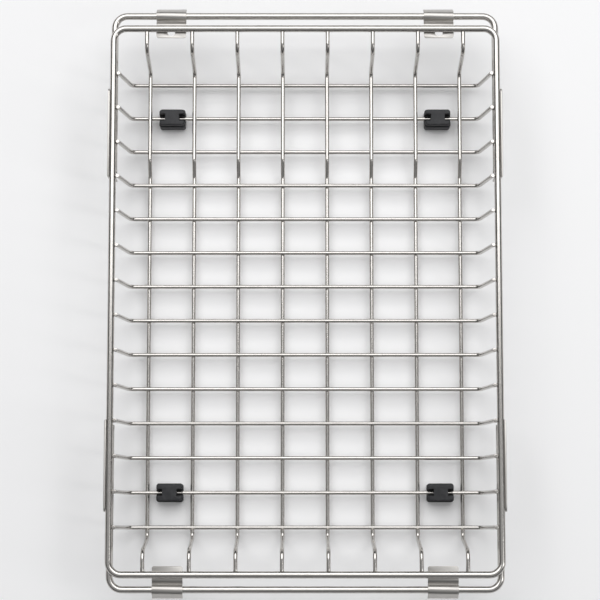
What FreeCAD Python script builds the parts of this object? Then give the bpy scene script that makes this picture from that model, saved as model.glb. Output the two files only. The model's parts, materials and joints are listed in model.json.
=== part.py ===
import FreeCAD, Part
import math
import os

# Wire drying rack with two fold-down legs, in millimetres.
# +Z is up, X runs across the rack, Y along it, and the rubber feet stand on Z = 0.
# Rear is the +Y end, front the -Y end, left the -X side.

# stock
barDiameter = 5.0             # rim and legs
wireDiameter = 3.0            # basket wires
weldBite = 0.15               # how far welded wires sink into each other
sheetBite = 0.03              # how far a sheet part sinks into the bar it is welded to

# basket
rimWidth = 276.0              # between the side rails' centrelines
rimLength = 391.0             # between the end bars' centrelines
rimCornerRadius = 9.0
basketDepth = 40.0            # rim centreline down to the cross wires' centreline
floorHeight = 8.5             # cross wires' centreline above the ground

# cross wires
crossCount = 14
crossPitch = 25.0
crossBendRadius = 5.0
crossLean = 6.1               # a wall end leans out by this over the basket's depth
crossTipAbove = 1.7           # the cut end above the rim's centreline

# long wires
longCount = 8
longPitch = 32.6
longTopBendRadius = 7.5
longFloorBendRadius = 5.0
longShelf = 14.0              # level stretch from the end bar's inner face to the top bend
longLean = 7.9                # the end wall leans out by this over the basket's depth
crossesBelow = 3              # rearmost cross wires that pass under the long wires
stepLength = 12.0             # where a long wire steps down from over to under
stepBendRadius = 4.0

# fold-down legs
legUnderRim = 0.4             # gap between a folded leg and the rim above it
legReach = 114.0              # pivot to cross bar
legCrossBarBeyondRim = 10.5   # cross bar's centreline past the end bar's
legSideGap = 0.32             # arm to side plate
legSwing = 95.0               # folded to standing, five degrees past upright

# pivot pins
pinDiameter = 3.0
pinRunningGap = 0.05          # radial, in the leg's cross hole

# side plates
plateThickness = 1.3
plateLength = 64.7
plateAboveRim = 1.5            # top edge above the rim's centreline
plateHeight = 21.5
plateCornerRadius = 3.0
stopEarReach = 4.3            # how far the bent end reaches in under the rail
stopEarThickness = 1.2
stopEarUnderRail = 0.6        # gap between the ear and the rail above it
stopGap = 0.2                 # ear to arm when the leg stands

# end clips
clipThickness = 1.0
clipWidth = 21.5
clipSpacing = 193.6           # between the centres of a pair
clipBarGap = 0.3              # between the leg's cross bar and the clip's crown
clipTabReach = 6.1            # tab's inner edge past the rim's centreline
clipTabCornerRadius = 1.6
clipTabBend = 3.8             # where the tab starts down, past the rim's centreline
clipTabBendRadius = 1.5
clipCreaseDrop = 0.8          # the crease below the start of the crown
clipCreaseRadius = 0.8
clipCrownStart = 165.0        # degrees from the outer side over the top
clipCrownEnd = 27.0           # the lip leaves the crown here and flares out
clipLipLength = 6.0
clipHoleDiameter = 5.6
clipHoleInset = 2.1           # hole centre past the rim's centreline
rearClipsHaveHole = True

# rubber feet
footWidth = 19.2              # along the cross wire
footDepth = 13.4
footLedge = 2.0               # the ledge round the foot, above the wire's centreline
footLedgeWidth = 0.5          # at the ends; the sides have footLedgeDepth
footLedgeDepth = 0.95
footAbove = 7.5               # top above the wire's centreline
footCornerRadius = 2.0
footEdge = 0.5                # chamfer round the sole and the top
footPocketDepth = 4.5
footPocketWidth = 5.1
footWireFromEnd = 2           # the feet sit on the second cross wire from each end

# values worked out from those above
barRadius = barDiameter / 2
wireRadius = wireDiameter / 2
rimHeight = floorHeight + basketDepth
legHeight = rimHeight - barDiameter - legUnderRim
railX = rimWidth / 2
endBarY = rimLength / 2
railOuterX = railX + barRadius
plateInnerX = railOuterX - sheetBite
plateOuterX = plateInnerX + plateThickness
armX = plateInnerX - legSideGap - barRadius
crossBarY = endBarY + legCrossBarBeyondRim
pivotY = crossBarY - legReach
plateTop = rimHeight + plateAboveRim
plateBottom = plateTop - plateHeight
stopEarTop = rimHeight - barRadius - stopEarUnderRail
pastUpright = math.radians(legSwing - 90)
armAtEar = barRadius / math.cos(pastUpright) + (legHeight - plateBottom) * math.tan(pastUpright)
plateInnerEndY = pivotY - armAtEar - stopGap - stopEarThickness
crossSpan = crossPitch * (crossCount - 1)
longSpan = longPitch * (longCount - 1)
wireStack = wireDiameter - weldBite          # between crossing wires' centrelines
crossLeanAngle = math.atan2(crossLean, basketDepth)


def point(x, y, z):
    return FreeCAD.Vector(x, y, z)


def filletedPath(corners, radii):
    """Straight runs between the corners, joined by tangent arcs of the given radii."""
    edges = []
    start = corners[0]
    for before, corner, after, radius in zip(corners, corners[1:], corners[2:], radii):
        back = (before - corner).normalize()
        ahead = (after - corner).normalize()
        halfAngle = back.getAngle(ahead) / 2
        reach = radius / math.tan(halfAngle)
        middle = (back + ahead).normalize() * (radius / math.sin(halfAngle) - radius)
        arcStart = corner + back * reach
        arcEnd = corner + ahead * reach
        edges.append(Part.LineSegment(start, arcStart).toShape())
        edges.append(Part.Arc(arcStart, corner + middle, arcEnd).toShape())
        start = arcEnd
    edges.append(Part.LineSegment(start, corners[-1]).toShape())
    return edges


def roundBar(edges, radius):
    """A round bar along a chain of tangent edges."""
    path = Part.Wire(edges)
    first = edges[0]
    direction = first.tangentAt(first.FirstParameter)
    section = Part.Wire(Part.makeCircle(radius, first.valueAt(first.FirstParameter), direction))
    return path.makePipeShell([section], True, True)


def movedSideways(edge, distance):
    """A straight or round edge of a tangent chain in the YZ plane, offset by a distance."""
    places = [edge.FirstParameter, (edge.FirstParameter + edge.LastParameter) / 2,
              edge.LastParameter]
    start, middle, end = [edge.valueAt(place)
                          + edge.tangentAt(place).cross(point(1, 0, 0)) * distance
                          for place in places]
    if isinstance(edge.Curve, Part.Line):
        return Part.LineSegment(start, end).toShape()
    return Part.Arc(start, middle, end).toShape()


def sheetStrip(edges, thickness, width, centreX):
    """A strip of sheet whose mid-surface follows a chain of edges in the YZ plane."""
    upper = [movedSideways(edge, thickness / 2) for edge in edges]
    lower = [movedSideways(edge, -thickness / 2) for edge in edges]
    caps = [Part.LineSegment(upper[0].firstVertex().Point, lower[0].firstVertex().Point),
            Part.LineSegment(upper[-1].lastVertex().Point, lower[-1].lastVertex().Point)]
    outline = Part.__sortEdges__(upper + lower + [cap.toShape() for cap in caps])
    profile = Part.Face(Part.Wire(outline))
    profile.translate(point(centreX - width / 2, 0, 0))
    return profile.extrude(point(width, 0, 0))


def mirrored(shape, leftSide, front):
    """The piece made for the right rear corner, carried over to another corner."""
    if leftSide:
        shape = shape.mirror(point(0, 0, 0), point(1, 0, 0))
    if front:
        shape = shape.mirror(point(0, 0, 0), point(0, 1, 0))
    return shape


def cornerNames(name):
    """The name, side and end of the four copies of a corner piece."""
    for end in ("rear", "front"):
        for side in ("left", "right"):
            yield "%s_%s_%s" % (name, end, side), side == "left", end == "front"


# the closed rim is drawn from the middle of the rear end bar, round and back to it
def makeRim():
    corners = [
        point(0, endBarY, rimHeight),
        point(railX, endBarY, rimHeight),
        point(railX, -endBarY, rimHeight),
        point(-railX, -endBarY, rimHeight),
        point(-railX, endBarY, rimHeight),
        point(0, endBarY, rimHeight),
    ]
    return roundBar(filletedPath(corners, [rimCornerRadius] * 4), barRadius)


# a cross wire is a shallow U: its ends stand against the rails' inner faces
def makeCrossWire(y):
    railContact = railX - (barRadius + wireRadius - weldBite) / math.cos(crossLeanAngle)
    slope = crossLean / basketDepth
    tipX = railContact + slope * crossTipAbove
    footX = railContact - crossLean
    tipHeight = rimHeight + crossTipAbove
    corners = [
        point(-tipX, y, tipHeight),
        point(-footX, y, floorHeight),
        point(footX, y, floorHeight),
        point(tipX, y, tipHeight),
    ]
    return roundBar(filletedPath(corners, [crossBendRadius] * 2), wireRadius)


# a long wire is butted to both end bars, drops down each end wall and runs along the floor,
# over the rearmost cross wires and under the others
def makeLongWire(x):
    tipY = endBarY - barRadius + weldBite
    shelfY = endBarY - barRadius - longShelf
    upper = floorHeight + wireStack
    lower = floorHeight - wireStack
    slope = longLean / basketDepth
    rearFootY = shelfY - slope * (rimHeight - upper)
    frontFootY = shelfY - slope * (rimHeight - lower)
    stepMiddle = crossSpan / 2 - crossPitch * (crossesBelow - 0.5)
    corners = [
        point(x, tipY, rimHeight),
        point(x, shelfY, rimHeight),
        point(x, rearFootY, upper),
        point(x, stepMiddle + stepLength / 2, upper),
        point(x, stepMiddle - stepLength / 2, lower),
        point(x, -frontFootY, lower),
        point(x, -shelfY, rimHeight),
        point(x, -tipY, rimHeight),
    ]
    endBends = [longTopBendRadius, longFloorBendRadius]
    radii = endBends + [stepBendRadius] * 2 + endBends[::-1]
    return roundBar(filletedPath(corners, radii), wireRadius)


# the rear leg: a U of bar whose arms have round ends, cross-drilled for the pivot pins
def makeLeg(front):
    corners = [
        point(-armX, pivotY, legHeight),
        point(-armX, crossBarY, legHeight),
        point(armX, crossBarY, legHeight),
        point(armX, pivotY, legHeight),
    ]
    leg = roundBar(filletedPath(corners, [rimCornerRadius] * 2), barRadius)
    for x in (-armX, armX):
        leg = leg.fuse(Part.makeSphere(barRadius, point(x, pivotY, legHeight)))
    drill = Part.makeCylinder(pinDiameter / 2 + pinRunningGap, 4 * armX,
                              point(-2 * armX, pivotY, legHeight), point(1, 0, 0))
    leg = leg.cut(drill).removeSplitter()
    return mirrored(leg, False, front)


# the pin runs from the arm's inner face to the plate's outer face, where it is riveted flush
def makePin():
    inner = armX - barRadius
    return Part.makeCylinder(pinDiameter / 2, plateOuterX - inner,
                             point(inner, pivotY, legHeight), point(1, 0, 0))


# the plate is welded to the rail's outer face; its inner end is bent in as the leg's stop
def makePlate():
    height = plateTop - plateBottom
    plate = Part.makeBox(plateThickness, plateLength, height,
                         point(plateInnerX, plateInnerEndY, plateBottom))
    farEdges = [edge for edge in plate.Edges
                if abs(edge.CenterOfMass.y - plateInnerEndY - plateLength) < 0.01
                and abs(edge.Length - plateThickness) < 0.01]
    plate = plate.makeFillet(plateCornerRadius, farEdges)
    ear = Part.makeBox(stopEarReach + plateThickness, stopEarThickness, stopEarTop - plateBottom,
                       point(plateInnerX - stopEarReach, plateInnerEndY, plateBottom))
    plate = plate.fuse(ear).removeSplitter()
    bendEdges = [edge for edge in plate.Edges
                 if abs(edge.CenterOfMass.x - plateOuterX) < 0.01
                 and abs(edge.CenterOfMass.y - plateInnerEndY) < 0.01]
    plate = plate.makeFillet(plateThickness * 0.8, bendEdges)
    hole = Part.makeCylinder(pinDiameter / 2, 4 * plateThickness,
                             point(plateInnerX - plateThickness, pivotY, legHeight),
                             point(1, 0, 0))
    return plate.cut(hole)


# the clip's tab is welded under the end bar; beyond it the sheet dips to a crease, arches
# over the folded leg's cross bar and flares out as a lip, so the bar drops out downwards
def makeClip(hasHole):
    crownRadius = barRadius + clipBarGap + clipThickness / 2
    tabHeight = rimHeight - barRadius + sheetBite - clipThickness / 2
    tabY = endBarY - clipTabReach

    def onCrown(degrees, beyond=0.0):
        """A point of the crown's mid-surface, or that far along its tangent there."""
        angle = math.radians(degrees)
        return point(0, crossBarY + crownRadius * math.cos(angle) + beyond * math.sin(angle),
                     legHeight + crownRadius * math.sin(angle) - beyond * math.cos(angle))

    crownTurn = math.radians(clipCrownStart - clipCrownEnd) / 2
    corners = [
        point(0, tabY, tabHeight),
        point(0, endBarY + clipTabBend, tabHeight),
        onCrown(clipCrownStart, -clipCreaseDrop),
        onCrown(clipCrownStart, crownRadius * math.tan(crownTurn)),
        onCrown(clipCrownEnd, clipLipLength),
    ]
    radii = [clipTabBendRadius, clipCreaseRadius, crownRadius]
    clip = sheetStrip(filletedPath(corners, radii), clipThickness, clipWidth, clipSpacing / 2)
    tabCorners = [edge for edge in clip.Edges
                  if abs(edge.CenterOfMass.y - tabY) < 0.01
                  and abs(edge.CenterOfMass.z - tabHeight) < 0.01
                  and abs(edge.Length - clipThickness) < 0.01]
    clip = clip.makeFillet(clipTabCornerRadius, tabCorners)
    if hasHole:
        hole = Part.makeCylinder(clipHoleDiameter / 2, 4 * clipThickness,
                                 point(clipSpacing / 2, endBarY - clipHoleInset,
                                       tabHeight - 2 * clipThickness))
        clip = clip.cut(hole)
    return clip


# a foot is moulded round its cross wire: a block with a narrow ledge round it, and at each
# end a pocket, open upwards, where the wire runs in
def makeFoot():
    centreX = longPitch * (longCount / 2 - 1)
    wireY = crossSpan / 2 - crossPitch * (footWireFromEnd - 1)
    ledgeHeight = floorHeight + footLedge

    def block(width, depth, bottom, top):
        """An upright block with rounded corners, chamfered where it is nobody's neighbour."""
        body = Part.makeBox(width, depth, top - bottom,
                            point(centreX - width / 2, wireY - depth / 2, bottom))
        upright = [edge for edge in body.Edges
                   if abs(edge.tangentAt(edge.FirstParameter).z) > 0.99]
        body = body.makeFillet(footCornerRadius, upright)
        free = bottom if bottom == 0 else top
        rims = [edge for edge in body.Edges if abs(edge.BoundBox.ZMin - free) < 0.01]
        return body.makeChamfer(footEdge, rims)

    foot = block(footWidth, footDepth, 0, ledgeHeight)
    foot = foot.fuse(block(footWidth - 2 * footLedgeWidth, footDepth - 2 * footLedgeDepth,
                           ledgeHeight - footLedge, floorHeight + footAbove)).removeSplitter()
    for x in (centreX - footWidth / 2, centreX + footWidth / 2 - footPocketDepth):
        foot = foot.cut(Part.makeBox(footPocketDepth, footPocketWidth, footAbove,
                                     point(x, wireY - footPocketWidth / 2, floorHeight)))
    bore = Part.makeCylinder(wireRadius, 2 * footWidth,
                             point(centreX - footWidth, wireY, floorHeight), point(1, 0, 0))
    return foot.cut(bore)


def save(name, shape):
    solids = shape.Solids
    if len(solids) != 1 or not shape.isValid() or solids[0].Volume <= 0:
        raise ValueError("%s is not one sound solid" % name)
    solids[0].exportStep("parts/%s.step" % name)
    print("%-24s %10.1f mm3" % (name, solids[0].Volume))


os.makedirs("parts", exist_ok=True)

save("basket_rim", makeRim())
for index in range(crossCount):
    save("cross_wire_%d" % (index + 1), makeCrossWire(crossSpan / 2 - index * crossPitch))
for index in range(longCount):
    save("long_wire_%d" % (index + 1), makeLongWire(index * longPitch - longSpan / 2))

save("rear_leg", makeLeg(False))
save("front_leg", makeLeg(True))

for name, leftSide, front in cornerNames("pivot_pin"):
    save(name, mirrored(makePin(), leftSide, front))
for name, leftSide, front in cornerNames("side_plate"):
    save(name, mirrored(makePlate(), leftSide, front))
for name, leftSide, front in cornerNames("end_clip"):
    save(name, mirrored(makeClip(rearClipsHaveHole and not front), leftSide, front))
for name, leftSide, front in cornerNames("foot"):
    save(name, mirrored(makeFoot(), leftSide, front))
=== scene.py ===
import json
import math

import bmesh
import bpy
import numpy as np
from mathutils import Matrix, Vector


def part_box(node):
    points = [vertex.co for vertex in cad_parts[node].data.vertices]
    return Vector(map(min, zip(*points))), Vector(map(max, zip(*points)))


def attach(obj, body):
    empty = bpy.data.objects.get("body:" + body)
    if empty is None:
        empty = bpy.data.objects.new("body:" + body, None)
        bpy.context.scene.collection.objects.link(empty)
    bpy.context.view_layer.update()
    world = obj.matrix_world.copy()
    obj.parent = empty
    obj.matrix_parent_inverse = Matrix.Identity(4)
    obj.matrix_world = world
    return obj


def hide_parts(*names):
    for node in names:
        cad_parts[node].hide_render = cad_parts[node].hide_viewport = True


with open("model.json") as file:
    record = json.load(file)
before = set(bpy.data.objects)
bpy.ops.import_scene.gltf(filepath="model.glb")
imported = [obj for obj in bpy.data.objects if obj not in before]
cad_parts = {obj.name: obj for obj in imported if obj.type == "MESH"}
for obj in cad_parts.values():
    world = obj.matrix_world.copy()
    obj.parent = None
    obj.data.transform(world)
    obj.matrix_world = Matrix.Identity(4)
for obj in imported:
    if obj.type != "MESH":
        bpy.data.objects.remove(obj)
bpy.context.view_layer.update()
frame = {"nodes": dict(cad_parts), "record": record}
scene = bpy.context.scene
mm = 0.001
print("frame loaded,", len(frame["nodes"]), "nodes")


# nearly overhead, a little towards the front end, with a long lens
view = {
    "lens": 119.3,
    "place": (-0.00364, -0.1673, 1.4525),
    "tilt": 6.72,         # degrees off straight down, towards the rear end
}


def makeCamera():
    camera = bpy.data.objects.new("camera", bpy.data.cameras.new("camera"))
    scene.collection.objects.link(camera)
    camera.location = view["place"]
    camera.rotation_euler = (math.radians(view["tilt"]), 0, 0)
    camera.data.lens = view["lens"]
    camera.data.sensor_width = 36
    camera.data.clip_start = 0.01
    scene.camera = camera
    scene.view_settings.view_transform = "Standard"


makeCamera()


# a socket of a material's node tree; arithmetic on it adds Math nodes
class Value:
    def __init__(self, graph, socket):
        self.graph = graph
        self.socket = socket

    def maths(self, operation, first, second):
        return self.graph.add("ShaderNodeMath", {"operation": operation}, {0: first, 1: second})

    def __add__(self, other):
        return self.maths("ADD", self, other)

    def __radd__(self, other):
        return self.maths("ADD", other, self)

    def __sub__(self, other):
        return self.maths("SUBTRACT", self, other)

    def __rsub__(self, other):
        return self.maths("SUBTRACT", other, self)

    def __mul__(self, other):
        return self.maths("MULTIPLY", self, other)

    def __rmul__(self, other):
        return self.maths("MULTIPLY", other, self)

    def __pow__(self, other):
        return self.maths("POWER", self, other)

    def clamped(self):
        return self.graph.add("ShaderNodeClamp", {}, {"Value": self})


# a material and the one way of adding nodes to it: settings first, then sockets; an output
# is named, or numbered where the node has several outputs of one name
class Graph:
    def __init__(self, name):
        self.material = bpy.data.materials.new(name)
        self.material.use_nodes = True
        self.tree = self.material.node_tree
        self.shader = self.tree.nodes["Principled BSDF"]

    def add(self, kind, settings, sockets, output=0):
        node = self.tree.nodes.new(kind)
        for name, setting in settings.items():
            if name == "stops":
                self.setStops(node, setting)
            else:
                setattr(node, name, setting)
        for name, value in sockets.items():
            self.feed(node.inputs[name], value)
        return Value(self, node.outputs[output])

    def setStops(self, node, stops):
        elements = node.color_ramp.elements
        while len(elements) < len(stops):
            elements.new(0.5)
        for element, (place, colour) in zip(elements, stops):
            element.position = place
            element.color = colour

    def feed(self, socket, value):
        if isinstance(value, Value):
            self.tree.links.new(value.socket, socket)
        else:
            socket.default_value = value

    def set(self, **sockets):
        for name, value in sockets.items():
            self.feed(self.shader.inputs[name.replace("_", " ")], value)

    def mix(self, factor, first, second):
        return self.add("ShaderNodeMix", {"data_type": "RGBA"}, {0: factor, 6: first, 7: second}, 2)

    def noise(self, coordinates, scale, detail=2.0, roughness=0.5):
        return self.add("ShaderNodeTexNoise", {},
                        {"Vector": coordinates, "Scale": scale, "Detail": detail,
                         "Roughness": roughness})

    def stretched(self, coordinates, scale):
        return self.add("ShaderNodeMapping", {}, {"Vector": coordinates, "Scale": scale})

    def bump(self, height, strength, distance):
        return self.add("ShaderNodeBump", {},
                        {"Height": height, "Strength": strength, "Distance": distance})


wireFinish = {
    "colour": (0.57, 0.55, 0.525, 1),
    "dull": (0.48, 0.46, 0.435, 1),
    "straw": (0.56, 0.47, 0.35, 1),
    "roughness": 0.17,
    "drawLines": (5200.0, 55.0, 1.0),    # per metre, round the wire and along it
    "lineHeight": 0.04 * mm,
    "barLines": 0.10,         # how strongly the lines show
    "wireLines": 0.12,
    "clouds": 130.0,          # per metre
}


# drawn stainless wire: fine lines along its length, cloudy patches and a faint heat
# tint beside the welds
def drawnSteel(name, finish, lineStrength):
    graph = Graph(name)
    along = graph.add("ShaderNodeUVMap", {"uv_map": "along"}, {})
    place = graph.add("ShaderNodeTexCoord", {}, {}, "Object")
    lines = graph.noise(graph.stretched(along, finish["drawLines"]), 1.0, 4.0, 0.6)
    clouds = graph.noise(place, finish["clouds"], 3.0, 0.55)
    heat = graph.add("ShaderNodeAttribute", {"attribute_name": "heat"}, {}, "Fac")
    tinted = (heat * (0.35 + 0.5 * clouds)).clamped()
    patchy = ((clouds - 0.38) * 2.4).clamped()
    colour = graph.mix(patchy * 0.6, finish["colour"], finish["dull"])
    colour = graph.mix(tinted * 0.55, colour, finish["straw"])
    roughness = finish["roughness"] + 0.10 * lines * clouds + 0.16 * tinted
    graph.set(Base_Color=colour, Roughness=roughness, Metallic=1.0,
              Normal=graph.bump(lines, lineStrength, finish["lineHeight"]))
    return graph.material


sheetFinish = {
    "colour": (0.50, 0.485, 0.465, 1),
    "dull": (0.39, 0.375, 0.355, 1),
    "grain": (35.0, 2600.0, 2600.0),     # per metre: long across the rack, fine the other ways
    "grainHeight": 0.06 * mm,
    "clouds": 210.0,
    "roughness": 0.27,
}


# brushed stainless sheet: short scratches along X
def brushedSheet(name, finish):
    graph = Graph(name)
    place = graph.add("ShaderNodeTexCoord", {}, {}, "Object")
    grain = graph.noise(graph.stretched(place, finish["grain"]), 1.0, 5.0, 0.7)
    clouds = graph.noise(place, finish["clouds"])
    streaks = ((grain - 0.35) * 2.6).clamped()
    colour = graph.mix(streaks * 0.55, finish["colour"], finish["dull"])
    roughness = finish["roughness"] + 0.14 * grain + 0.06 * clouds
    graph.set(Base_Color=colour, Roughness=roughness, Metallic=1.0,
              Normal=graph.bump(grain, 0.35, finish["grainHeight"]))
    return graph.material


rubberFinish = {
    "colour": (0.016, 0.0165, 0.019, 1),
    "worn": (0.048, 0.048, 0.052, 1),
    "roughness": 0.46,
    "grain": 1500.0,          # per metre
    "grainHeight": 0.12 * mm,
    "bloom": 320.0,
}


# moulded black rubber: fine grain with a paler bloom in patches
def mouldedRubber(name, finish):
    graph = Graph(name)
    place = graph.add("ShaderNodeTexCoord", {}, {}, "Object")
    grain = graph.noise(place, finish["grain"], 4.0, 0.65)
    bloom = graph.noise(place, finish["bloom"], 3.0)
    patches = ((bloom - 0.45) * 3.0).clamped()
    colour = graph.mix(patches * 0.6, finish["colour"], finish["worn"])
    roughness = finish["roughness"] + 0.16 * grain + 0.10 * patches
    graph.set(Base_Color=colour, Roughness=roughness, Specular_IOR_Level=0.45,
              Normal=graph.bump(grain + 0.6 * bloom, 0.5, finish["grainHeight"]))
    return graph.material


barSteel = drawnSteel("steel_bar", wireFinish, wireFinish["barLines"])
wireSteel = drawnSteel("steel_wire", wireFinish, wireFinish["wireLines"])
sheetSteel = brushedSheet("steel_sheet", sheetFinish)
pinSteel = brushedSheet("steel_pin", sheetFinish)
blackRubber = mouldedRubber("black_rubber", rubberFinish)
print("materials made")


detail = {
    "barSides": 40,
    "wireSides": 28,
    "ringSpacing": 1.6 * mm,
    "ringsPerArc": 12,
    "ringsPerEnd": 5,
    "holeSides": 32,
}


# Straight runs between the corners, joined by tangent arcs of the given radii. A run's
# points are start + t (end - start); an arc's are centre + radius (cos t, sin t) in its plane.
def bentPath(corners, radii):
    corners = np.array(corners, float)
    stretches = []
    start = corners[0]
    for before, corner, after, radius in zip(corners, corners[1:], corners[2:], radii):
        back = (before - corner) / np.linalg.norm(before - corner)
        ahead = (after - corner) / np.linalg.norm(after - corner)
        half = math.acos(back @ ahead) / 2
        reach = radius / math.tan(half)
        inward = (back + ahead) / np.linalg.norm(back + ahead)
        centre = corner + inward * radius / math.sin(half)
        arcStart = corner + back * reach
        turn = np.linspace(0, math.pi - 2 * half, detail["ringsPerArc"] + 1)[:, None]
        outward = (arcStart - centre) / radius
        stretches.append(run(start, arcStart))
        stretches.append(centre + radius * (np.cos(turn) * outward - np.sin(turn) * back)[:-1])
        start = corner + ahead * reach
    stretches.append(run(start, corners[-1]))
    return np.concatenate(stretches + [corners[-1:]])


def run(start, end):
    count = max(2, round(np.linalg.norm(end - start) / detail["ringSpacing"]))
    share = np.linspace(0, 1, count + 1)[:-1, None]
    return start + share * (end - start)


# The rounded end of a bar: rings whose radius is radius - edge + edge cos t and that lie
# edge sin t further on. The last ring is small, and makeBar closes it with a flat face.
def endRings(centre, tangent, radius, edge):
    turn = np.linspace(0, math.pi / 2, detail["ringsPerEnd"] + 1)[1:]
    radii = radius - edge + edge * np.cos(turn)
    rise = edge * np.sin(turn)
    if radius - edge > 0.1 * radius:
        radii = np.append(radii, 0.45 * (radius - edge))
        rise = np.append(rise, edge)
    else:
        radii[-1] = 0.02 * radius
    return centre + rise[:, None] * tangent, radii


# A bar's surface on a grid: place(s, a) = path(s) + radius(s) (cos a normal + sin a binormal),
# s along the path and a round it. The path lies in a plane, and normal is that plane's.
# swells and heats are lists of (place along the path, width, amount) bell curves.
def makeBar(name, path, radius, normal, sides, closed=False, edge=0.0, swells=(), heats=()):
    steps = np.linalg.norm(np.diff(path, axis=0), axis=1)
    along = np.concatenate([[0], np.cumsum(steps)])
    if closed:
        path, total = path[:-1], along[-1]
        along = along[:-1]
        tangent = np.roll(path, -1, axis=0) - np.roll(path, 1, axis=0)
    else:
        tangent = np.gradient(path, axis=0)
    tangent /= np.linalg.norm(tangent, axis=1)[:, None]
    radii = radius + bells(along, swells)
    heat = bells(along, heats)
    if not closed:
        head, headRadii = endRings(path[0] + edge * tangent[0], -tangent[0], radius, edge)
        tail, tailRadii = endRings(path[-1] - edge * tangent[-1], tangent[-1], radius, edge)
        keep = (along > edge) & (along < along[-1] - edge)
        path = np.concatenate([head[::-1], [path[0] + edge * tangent[0]], path[keep],
                               [path[-1] - edge * tangent[-1]], tail])
        radii = np.concatenate([headRadii[::-1], [radius], radii[keep], [radius], tailRadii])
        pad = len(head) + 1
        heat = np.pad(heat[keep], pad, mode="edge")
        along = np.concatenate([np.zeros(pad), along[keep], np.full(pad, along[-1])])
        tangent = np.concatenate([np.repeat(tangent[:1], pad, 0), tangent[keep],
                                  np.repeat(tangent[-1:], pad, 0)])
    binormal = np.cross(tangent, normal)
    turn = np.arange(sides) * 2 * math.pi / sides
    spokes = (np.cos(turn)[None, :, None] * np.array(normal)[None, None, :]
              + np.sin(turn)[None, :, None] * binormal[:, None, :])
    points = path[:, None, :] + radii[:, None, None] * spokes
    rings = len(path)
    i = np.arange(rings if closed else rings - 1)[:, None]
    j = np.arange(sides)[None, :]
    nextRing = (i + 1) % rings
    nextSide = (j + 1) % sides
    quads = np.stack([i * sides + j, i * sides + nextSide,
                      nextRing * sides + nextSide, nextRing * sides + j], axis=-1)
    faces = quads.reshape(-1, 4).tolist()
    here = along[i] + 0 * j
    there = (np.append(along[1:], total)[i] if closed else along[i + 1]) + 0 * j
    roundHere = radius * 2 * math.pi / sides * (j + 0 * i)
    roundThere = radius * 2 * math.pi / sides * (j + 1 + 0 * i)
    uv = np.stack([np.stack([roundHere, here], -1), np.stack([roundThere, here], -1),
                   np.stack([roundThere, there], -1), np.stack([roundHere, there], -1)], axis=-2)
    uv = uv.reshape(-1, 2)
    points = points.reshape(-1, 3)
    heat = np.repeat(heat, sides)
    if not closed:
        faces += [list(range(sides))[::-1], list(range((rings - 1) * sides, rings * sides))]
        uv = np.concatenate([uv, np.zeros((2 * sides, 2))])
    mesh = bpy.data.meshes.new(name)
    mesh.from_pydata(points.tolist(), [], faces)
    mesh.uv_layers.new(name="along").data.foreach_set("uv", uv.ravel())
    mesh.attributes.new("heat", "FLOAT", "POINT").data.foreach_set("value", heat)
    mesh.shade_smooth()
    return mesh


# the sum of amount exp(-((s - place) / width)^2)
def bells(along, bumps):
    total = np.zeros_like(along)
    for place, width, amount in bumps:
        total += amount * np.exp(-((along - place) / width) ** 2)
    return total


# how far along the path its point nearest to each place lies
def distancesAlong(path, places):
    steps = np.linalg.norm(np.diff(path, axis=0), axis=1)
    along = np.concatenate([[0], np.cumsum(steps)])
    gaps = np.linalg.norm(path[None] - np.array(places)[:, None], axis=2)
    return along[np.argmin(gaps, axis=1)]


def place(mesh, node, material, slot):
    piece = bpy.data.objects.new(node + "_visual", mesh)
    scene.collection.objects.link(piece)
    mesh.materials.append(material)
    body = next(name for name, nodes in frame["record"]["behaviour"]["bodies"].items()
                if node in nodes)
    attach(piece, body)
    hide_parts(node)
    return piece


def boxOf(node):
    low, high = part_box(node)
    return np.array(low), np.array(high)


def numberedNodes(stem):
    count = sum(name.startswith(stem) for name in frame["nodes"])
    return [stem + str(n + 1) for n in range(count)]


crossNodes = numberedNodes("cross_wire_")      # from the rear end to the front
longNodes = numberedNodes("long_wire_")        # from left to right
crossBoxes = [boxOf(node) for node in crossNodes]
longBoxes = [boxOf(node) for node in longNodes]
crossPlaces = [(low[1] + high[1]) / 2 for low, high in crossBoxes]
longPlaces = [(low[0] + high[0]) / 2 for low, high in longBoxes]
wireRadius = (longBoxes[0][1][0] - longBoxes[0][0][0]) / 2
crossFloor = crossBoxes[0][0][2] + wireRadius
rimLow, rimHigh = boxOf("basket_rim")
barRadius = (rimHigh[2] - rimLow[2]) / 2
rimLevel = (rimHigh[2] + rimLow[2]) / 2


# how far the heat tint spreads along a bar from each kind of weld
tint = {
    "rim": 3.2 * mm,
    "rimAmount": 0.7,
    "crossing": 2.2 * mm,
    "crossEnd": 4.0 * mm,
    "longEnd": 4.5 * mm,
}


rim = {
    "corner": 9.0 * mm,
}


def makeRim():
    x = rimHigh[0] - barRadius
    y = rimHigh[1] - barRadius
    corners = [(0, y, rimLevel), (x, y, rimLevel), (x, -y, rimLevel), (-x, -y, rimLevel),
               (-x, y, rimLevel), (0, y, rimLevel)]
    path = bentPath(corners, [rim["corner"]] * 4)
    ends = [(place, side, rimLevel) for place in longPlaces for side in (-y, y)]
    ends += [(side, place, rimLevel) for place in crossPlaces for side in (-x, x)]
    heats = [(s, tint["rim"], tint["rimAmount"]) for s in distancesAlong(path, ends)]
    mesh = makeBar("basket_rim", path, barRadius, (0, 0, 1), detail["barSides"], True,
                   heats=heats)
    place(mesh, "basket_rim", barSteel, "steel_bar")


crossWire = {
    "bend": 5.0 * mm,
    "lean": 6.1 / 40.0,      # outward per unit of height
    "cutEdge": 0.35 * mm,
}


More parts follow.
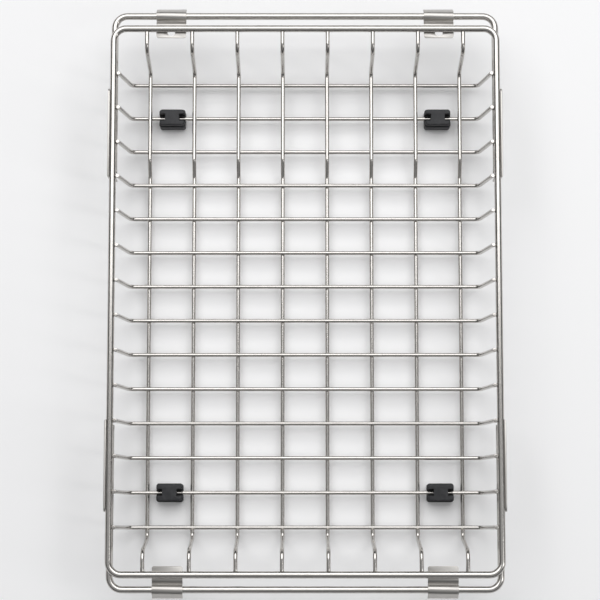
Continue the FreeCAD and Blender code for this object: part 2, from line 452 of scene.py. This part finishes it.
def makeCrossWires():
    angle = math.atan(crossWire["lean"])
    for node, (low, high) in zip(crossNodes, crossBoxes):
        y = (low[1] + high[1]) / 2
        tipX = high[0] - wireRadius * math.cos(angle)
        tipZ = high[2] - wireRadius * math.sin(angle)
        footX = tipX - crossWire["lean"] * (tipZ - crossFloor)
        corners = [(-tipX, y, tipZ), (-footX, y, crossFloor), (footX, y, crossFloor),
                   (tipX, y, tipZ)]
        path = bentPath(corners, [crossWire["bend"]] * 2)
        crossings = [(x, y, crossFloor) for x in longPlaces]
        heats = [(s, tint["crossing"], 1.0) for s in distancesAlong(path, crossings)]
        ends = distancesAlong(path, [corners[0], corners[-1]])
        heats += [(s, tint["crossEnd"], 1.0) for s in ends]
        mesh = makeBar(node, path, wireRadius, (0, 1, 0), detail["wireSides"],
                       edge=crossWire["cutEdge"], heats=heats)
        place(mesh, node, wireSteel, "steel_wire")


longWire = {
    "shelf": 14.0 * mm,       # level stretch from the end bar's inner face
    "lean": 7.9 / 40.0,
    "topBend": 7.5 * mm,
    "floorBend": 5.0 * mm,
    "step": 12.0 * mm,        # length of the step from over to under the cross wires
    "stepBend": 4.0 * mm,
    "stepAfter": 3,           # cross wires that the wire passes over, from the rear
    "flash": 0.28 * mm,       # how far the butt weld swells out
    "flashWidth": 0.9 * mm,
    "cutEdge": 0.2 * mm,
}


def makeLongWires():
    y = rimHigh[1] - 2 * barRadius
    stepMiddle = (crossPlaces[longWire["stepAfter"] - 1] + crossPlaces[longWire["stepAfter"]]) / 2
    for node, (low, high) in zip(longNodes, longBoxes):
        x = (low[0] + high[0]) / 2
        lower = low[2] + wireRadius
        upper = 2 * crossFloor - lower
        shelf = y - longWire["shelf"]
        rearFoot = shelf - longWire["lean"] * (rimLevel - upper)
        frontFoot = shelf - longWire["lean"] * (rimLevel - lower)
        corners = [
            (x, high[1], rimLevel),
            (x, shelf, rimLevel),
            (x, rearFoot, upper),
            (x, stepMiddle + longWire["step"] / 2, upper),
            (x, stepMiddle - longWire["step"] / 2, lower),
            (x, -frontFoot, lower),
            (x, -shelf, rimLevel),
            (x, low[1], rimLevel),
        ]
        endBends = [longWire["topBend"], longWire["floorBend"]]
        path = bentPath(corners, endBends + [longWire["stepBend"]] * 2 + endBends[::-1])
        ends = distancesAlong(path, [corners[0], corners[-1]])
        crossings = [(x, place, upper if index < longWire["stepAfter"] else lower)
                     for index, place in enumerate(crossPlaces)]
        heats = [(s, tint["crossing"], 1.0) for s in distancesAlong(path, crossings)]
        heats += [(s, tint["longEnd"], 1.0) for s in ends]
        swells = [(s, longWire["flashWidth"], longWire["flash"]) for s in ends]
        mesh = makeBar(node, path, wireRadius, (1, 0, 0), detail["wireSides"],
                       edge=longWire["cutEdge"], swells=swells, heats=heats)
        place(mesh, node, wireSteel, "steel_wire")


weld = {
    "radius": 1.15 * mm,
    "bulge": 0.62 * mm,       # half height of the bead between two wires
    "heat": 0.9,
    "around": 10,
    "rings": 3,               # from the middle to a pole
}


# A weld bead is a flattened ball: radius cos t round the joint and bulge sin t up and down,
# with t up the bead. Its faces are quads between rings and triangles at the two poles.
def weldBead():
    sides = weld["around"]
    levels = 2 * weld["rings"] - 1
    turn = (np.arange(sides) * 2 * math.pi / sides)[None, :]
    lift = np.linspace(-math.pi / 2, math.pi / 2, levels + 2)[1:-1, None]
    rings = np.stack([np.cos(turn) * np.cos(lift) * weld["radius"],
                      np.sin(turn) * np.cos(lift) * weld["radius"],
                      np.sin(lift) * weld["bulge"] + 0 * turn], axis=-1)
    poles = np.array([[0, 0, -weld["bulge"]], [0, 0, weld["bulge"]]])
    points = np.concatenate([rings.reshape(-1, 3), poles])
    j = np.arange(sides)
    nextSide = (j + 1) % sides
    starts = np.arange(levels - 1)[:, None] * sides
    quads = np.stack([starts + j, starts + nextSide, starts + sides + nextSide,
                      starts + sides + j], axis=-1).reshape(-1, 4)
    bottom = np.full(sides, levels * sides)
    last = (levels - 1) * sides
    caps = np.concatenate([np.stack([bottom, nextSide, j], axis=-1),
                           np.stack([bottom + 1, last + j, last + nextSide], axis=-1)])
    return points, quads, caps


# one mesh holds the beads along a whole cross wire
def makeWeldBeads():
    bead, quads, caps = weldBead()
    shifts = np.arange(len(longPlaces))[:, None, None] * len(bead)
    faces = (quads + shifts).reshape(-1, 4).tolist() + (caps + shifts).reshape(-1, 3).tolist()
    for index, y in enumerate(crossPlaces):
        side = 1 if index < longWire["stepAfter"] else -1
        height = crossFloor + side * wireRadius
        centres = np.array([(x, y, height) for x in longPlaces])
        points = (centres[:, None] + bead[None]).reshape(-1, 3)
        mesh = bpy.data.meshes.new("weld_beads_%d" % (index + 1))
        mesh.from_pydata(points.tolist(), [], faces)
        mesh.uv_layers.new(name="along")
        heat = np.full(len(points), weld["heat"])
        mesh.attributes.new("heat", "FLOAT", "POINT").data.foreach_set("value", heat)
        mesh.shade_smooth()
        mesh.materials.append(wireSteel)
        beads = bpy.data.objects.new(mesh.name, mesh)
        scene.collection.objects.link(beads)
        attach(beads, "basket")


leg = {
    "corner": 9.0 * mm,
    "hole": 1.55 * mm,        # radius of the cross hole for the pin
}


def makeLeg(node, towardsRear):
    low, high = boxOf(node)
    x = high[0] - barRadius
    z = (low[2] + high[2]) / 2
    pivot = low[1] + barRadius if towardsRear else high[1] - barRadius
    crossBar = high[1] - barRadius if towardsRear else low[1] + barRadius
    overshoot = math.copysign(barRadius, pivot - crossBar)   # the round end's reach
    corners = [(-x, pivot + overshoot, z), (-x, crossBar, z), (x, crossBar, z),
               (x, pivot + overshoot, z)]
    path = bentPath(corners, [leg["corner"]] * 2)
    mesh = makeBar(node, path, barRadius, (0, 0, 1), detail["barSides"], edge=barRadius)
    drillHole(mesh, (0, pivot, z), (1, 0, 0), leg["hole"], 4 * x)
    place(mesh, node, barSteel, "steel_bar")


# takes a round hole out of a mesh, along the axis and through its whole width
def drillHole(mesh, centre, axis, radius, length):
    cutter = bmesh.new()
    bmesh.ops.create_cone(cutter, cap_ends=True, segments=detail["holeSides"],
                          radius1=radius, radius2=radius, depth=length)
    turn = Vector((0, 0, 1)).rotation_difference(Vector(axis)).to_matrix()
    bmesh.ops.rotate(cutter, verts=cutter.verts, matrix=turn)
    bmesh.ops.translate(cutter, verts=cutter.verts, vec=centre)
    cutterMesh = bpy.data.meshes.new("cutter")
    cutter.to_mesh(cutterMesh)
    cutter.free()
    drill = bpy.data.objects.new("drill", cutterMesh)
    work = bpy.data.objects.new("work", mesh)
    for item in (drill, work):
        scene.collection.objects.link(item)
    cut = work.modifiers.new("cut", "BOOLEAN")
    cut.object = drill
    cut.solver = "EXACT"
    bpy.context.view_layer.update()
    result = bpy.data.meshes.new_from_object(work.evaluated_get(
        bpy.context.evaluated_depsgraph_get()))
    for item in (drill, work):
        bpy.data.objects.remove(item)
    bm = bmesh.new()
    bm.from_mesh(result)
    bm.to_mesh(mesh)
    bm.free()
    mesh.shade_smooth()


makeRim()
makeCrossWires()
makeLongWires()
makeWeldBeads()
makeLeg("rear_leg", True)
makeLeg("front_leg", False)
print("bars and wires made")


# width of the eased edge and its number of steps
easing = {
    "end_clip": (0.22 * mm, 3),
    "side_plate": (0.25 * mm, 3),
    "pivot_pin": (0.2 * mm, 2),
    "foot": (0.35 * mm, 3),
}


merging = {
    "distance": 0.002 * mm,
    "flat": math.radians(0.6),     # faces that turn less than this become one
    "sharp": math.radians(35),     # edges that turn more than this are eased
}


# a merged copy of the node's mesh, flat faces made whole again and every sharp edge rounded
def easedCopy(node, width, segments, material, slot):
    bm = bmesh.new()
    bm.from_mesh(frame["nodes"][node].data)
    bmesh.ops.remove_doubles(bm, verts=bm.verts, dist=merging["distance"])
    bmesh.ops.dissolve_limit(bm, angle_limit=merging["flat"], verts=bm.verts, edges=bm.edges)
    mesh = bpy.data.meshes.new(node)
    bm.to_mesh(mesh)
    bm.free()
    mesh.shade_smooth()
    piece = place(mesh, node, material, slot)
    bevel = piece.modifiers.new("eased", "BEVEL")
    bevel.width = width
    bevel.segments = segments
    bevel.limit_method = "ANGLE"
    bevel.angle_limit = merging["sharp"]
    bevel.harden_normals = True


cornerEnds = ["rear_left", "rear_right", "front_left", "front_right"]
for end in cornerEnds:
    easedCopy("end_clip_" + end, *easing["end_clip"], sheetSteel, "steel_sheet")
    easedCopy("side_plate_" + end, *easing["side_plate"], sheetSteel, "steel_sheet")
    easedCopy("pivot_pin_" + end, *easing["pivot_pin"], pinSteel, "steel_pin")
    easedCopy("foot_" + end, *easing["foot"], blackRubber, "black_rubber")
print("sheet parts, pins and feet made")


studio = {
    "floor": (0.96, 0.96, 0.965, 1),
    "floorSize": 14.0,
    "softbox": {"place": (0.0, 1.25, 1.95), "size": (3.6, 2.2), "power": 55.0},
    "strip": {"place": (1.9, -0.5, 1.6), "size": (0.35, 1.6), "power": 6.0},
    "floorRoughness": 0.9,
    "zenith": 0.44,
    "horizon": 0.035,
    "room": (0.985, 0.99, 1.0, 1),
    "rampHeights": (0.15, 0.95),     # sine of the height where the room starts and stops to brighten
    "backdrop": 0.8,
}


def makeFloor():
    half = studio["floorSize"] / 2
    mesh = bpy.data.meshes.new("floor")
    mesh.from_pydata([(-half, -half, 0), (half, -half, 0), (half, half, 0), (-half, half, 0)],
                     [], [(0, 1, 2, 3)])
    floor = bpy.data.objects.new("floor", mesh)
    scene.collection.objects.link(floor)
    graph = Graph("pale_floor")
    graph.set(Base_Color=studio["floor"], Roughness=studio["floorRoughness"])
    mesh.materials.append(graph.material)


def makeLight(name, facts):
    light = bpy.data.objects.new(name, bpy.data.lights.new(name, "AREA"))
    light.data.shape = "RECTANGLE"
    light.data.size, light.data.size_y = facts["size"]
    light.data.energy = facts["power"]
    light.location = facts["place"]
    towardsObject = -Vector(facts["place"])
    light.rotation_euler = towardsObject.to_track_quat("-Z", "Y").to_euler()
    scene.collection.objects.link(light)


# the room that the steel reflects, dark near the floor and brighter overhead; the camera
# itself sees an even backdrop beyond the floor
def makeRoom():
    world = bpy.data.worlds.new("room")
    scene.world = world
    world.use_nodes = True
    tree = world.node_tree
    direction = tree.nodes.new("ShaderNodeTexCoord")
    parts = tree.nodes.new("ShaderNodeSeparateXYZ")
    ramp = tree.nodes.new("ShaderNodeMapRange")
    ramp.inputs["From Min"].default_value = studio["rampHeights"][0]
    ramp.inputs["From Max"].default_value = studio["rampHeights"][1]
    ramp.inputs["To Min"].default_value = studio["horizon"]
    ramp.inputs["To Max"].default_value = studio["zenith"]
    tree.links.new(direction.outputs["Generated"], parts.inputs[0])
    tree.links.new(parts.outputs["Z"], ramp.inputs["Value"])
    seen = tree.nodes.new("ShaderNodeLightPath")
    choice = tree.nodes.new("ShaderNodeMix")
    tree.links.new(seen.outputs["Is Camera Ray"], choice.inputs[0])
    tree.links.new(ramp.outputs[0], choice.inputs[2])
    choice.inputs[3].default_value = studio["backdrop"]
    background = tree.nodes["Background"]
    tree.links.new(choice.outputs[0], background.inputs["Strength"])
    background.inputs["Color"].default_value = studio["room"]


makeFloor()
makeLight("softbox", studio["softbox"])
makeLight("strip", studio["strip"])
makeRoom()
print("studio made")
